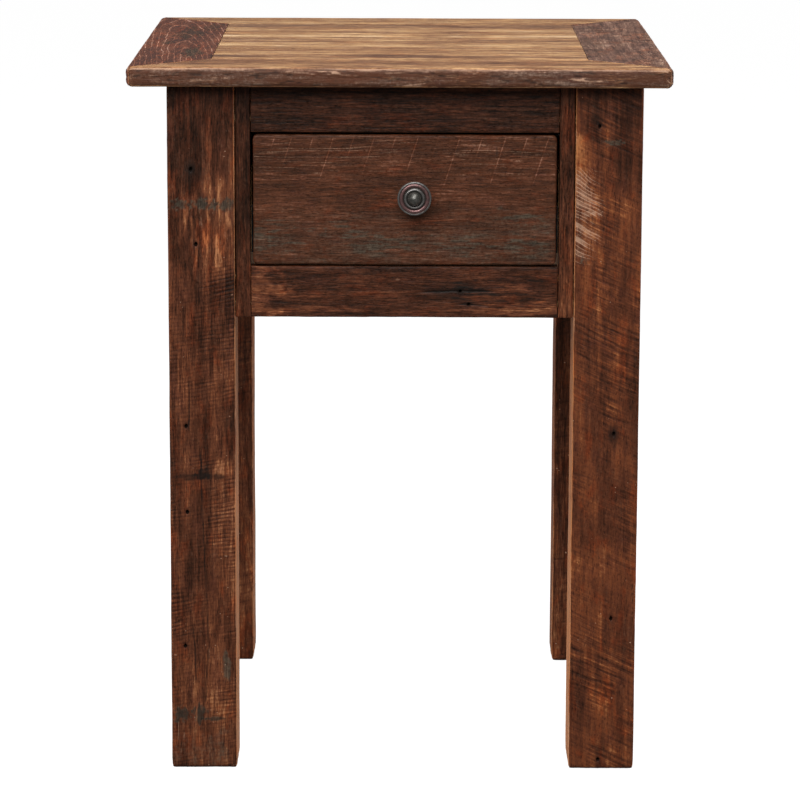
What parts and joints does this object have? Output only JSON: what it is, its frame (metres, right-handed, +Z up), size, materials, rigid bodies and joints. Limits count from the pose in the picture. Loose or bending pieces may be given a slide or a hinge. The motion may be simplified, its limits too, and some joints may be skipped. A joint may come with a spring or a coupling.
{
  "type": "side table with drawer",
  "caption": "Square rustic wooden side table: mitred framed plank top, square legs, face frame, and an inset drawer on full-extension ball-bearing slides.",
  "frame": {"origin": "on the floor, under the middle of the tabletop", "axes": "+Z up, -Y out of the front, where the drawer opens, +X to the right seen from the front"},
  "size_m": [0.508, 0.508, 0.68],
  "materials": {
    "leg_wood": "reclaimed barn board, saw-marked, satin varnish",
    "frame_wood": "reclaimed board, dark, satin varnish",
    "drawer_wood": "reclaimed board with saw scratches, satin varnish",
    "border_wood": "weathered reclaimed board, satin varnish",
    "plank_wood": "planed reclaimed board, satin varnish",
    "box_wood": "clear lacquered poplar",
    "slide_steel": "black baked coat on steel",
    "screw_steel": "zinc-plated screws",
    "bearing_steel": "polished balls in a pressed cage",
    "bumper_rubber": "matte black",
    "knob_bronze": "oil-rubbed bronze, copper showing at the ridges"
  },
  "bodies": {
    "table": {"top_border_front": "border_wood", "top_border_back": "border_wood", "top_border_left": "border_wood", "top_border_right": "border_wood", "top_plank_front": "plank_wood", "top_plank_middle": "plank_wood", "top_plank_back": "plank_wood", "leg_front_left": "leg_wood", "leg_front_right": "leg_wood", "leg_back_left": "leg_wood", "leg_back_right": "leg_wood", "face_stile_left": "frame_wood", "face_stile_right": "frame_wood", "face_rail_top": "frame_wood", "face_rail_bottom": "frame_wood", "side_apron_left": "frame_wood", "side_apron_right": "frame_wood", "back_apron": "frame_wood", "top_mitre_splines": "box_wood", "rail_dowels": "box_wood", "corner_block_front_left": "box_wood", "corner_block_front_right": "box_wood", "corner_block_back_left": "box_wood", "corner_block_back_right": "box_wood", "slide_cleat_left": "box_wood", "slide_cleat_right": "box_wood", "slide_outer_left": "slide_steel", "slide_outer_right": "slide_steel", "corner_block_screws": "screw_steel", "top_screws": "screw_steel", "cleat_screws": "screw_steel", "slide_cabinet_screws": "screw_steel", "slide_bumpers": "bumper_rubber"},
    "drawer": {"drawer_front": "drawer_wood", "drawer_box_front": "box_wood", "drawer_side_left": "box_wood", "drawer_side_right": "box_wood", "drawer_back": "box_wood", "drawer_bottom": "box_wood", "drawer_front_screws": "screw_steel", "knob": "knob_bronze", "knob_screw": "screw_steel", "slide_inner_left": "slide_steel", "slide_inner_right": "slide_steel", "slide_drawer_screws": "screw_steel"},
    "slide_middle_left": {"slide_middle_left": "slide_steel"},
    "slide_middle_right": {"slide_middle_right": "slide_steel"},
    "ball_cage_outer_left": {"ball_cage_outer_left": "bearing_steel"},
    "ball_cage_outer_right": {"ball_cage_outer_right": "bearing_steel"},
    "ball_cage_inner_left": {"ball_cage_inner_left": "bearing_steel"},
    "ball_cage_inner_right": {"ball_cage_inner_right": "bearing_steel"}
  },
  "joints": [
    {"name": "drawer_slide", "type": "slide", "parent": "table", "child": "drawer", "axis": [0, -1, 0], "range_m": [0, 0.4]},
    {"name": "slide_middle_left_travel", "type": "slide", "parent": "table", "child": "slide_middle_left", "axis": [0, -1, 0], "range_m": [0, 0.2]},
    {"name": "ball_cage_outer_left_travel", "type": "slide", "parent": "table", "child": "ball_cage_outer_left", "axis": [0, -1, 0], "range_m": [0, 0.1]},
    {"name": "ball_cage_inner_left_travel", "type": "slide", "parent": "table", "child": "ball_cage_inner_left", "axis": [0, -1, 0], "range_m": [0, 0.3]},
    {"name": "slide_middle_right_travel", "type": "slide", "parent": "table", "child": "slide_middle_right", "axis": [0, -1, 0], "range_m": [0, 0.2]},
    {"name": "ball_cage_outer_right_travel", "type": "slide", "parent": "table", "child": "ball_cage_outer_right", "axis": [0, -1, 0], "range_m": [0, 0.1]},
    {"name": "ball_cage_inner_right_travel", "type": "slide", "parent": "table", "child": "ball_cage_inner_right", "axis": [0, -1, 0], "range_m": [0, 0.3]}
  ],
  "couplings": [
    {"joint": "slide_middle_left_travel", "follows": "drawer_slide", "ratio": 0.5},
    {"joint": "ball_cage_outer_left_travel", "follows": "drawer_slide", "ratio": 0.25},
    {"joint": "ball_cage_inner_left_travel", "follows": "drawer_slide", "ratio": 0.75},
    {"joint": "slide_middle_right_travel", "follows": "drawer_slide", "ratio": 0.5},
    {"joint": "ball_cage_outer_right_travel", "follows": "drawer_slide", "ratio": 0.25},
    {"joint": "ball_cage_inner_right_travel", "follows": "drawer_slide", "ratio": 0.75}
  ]
}
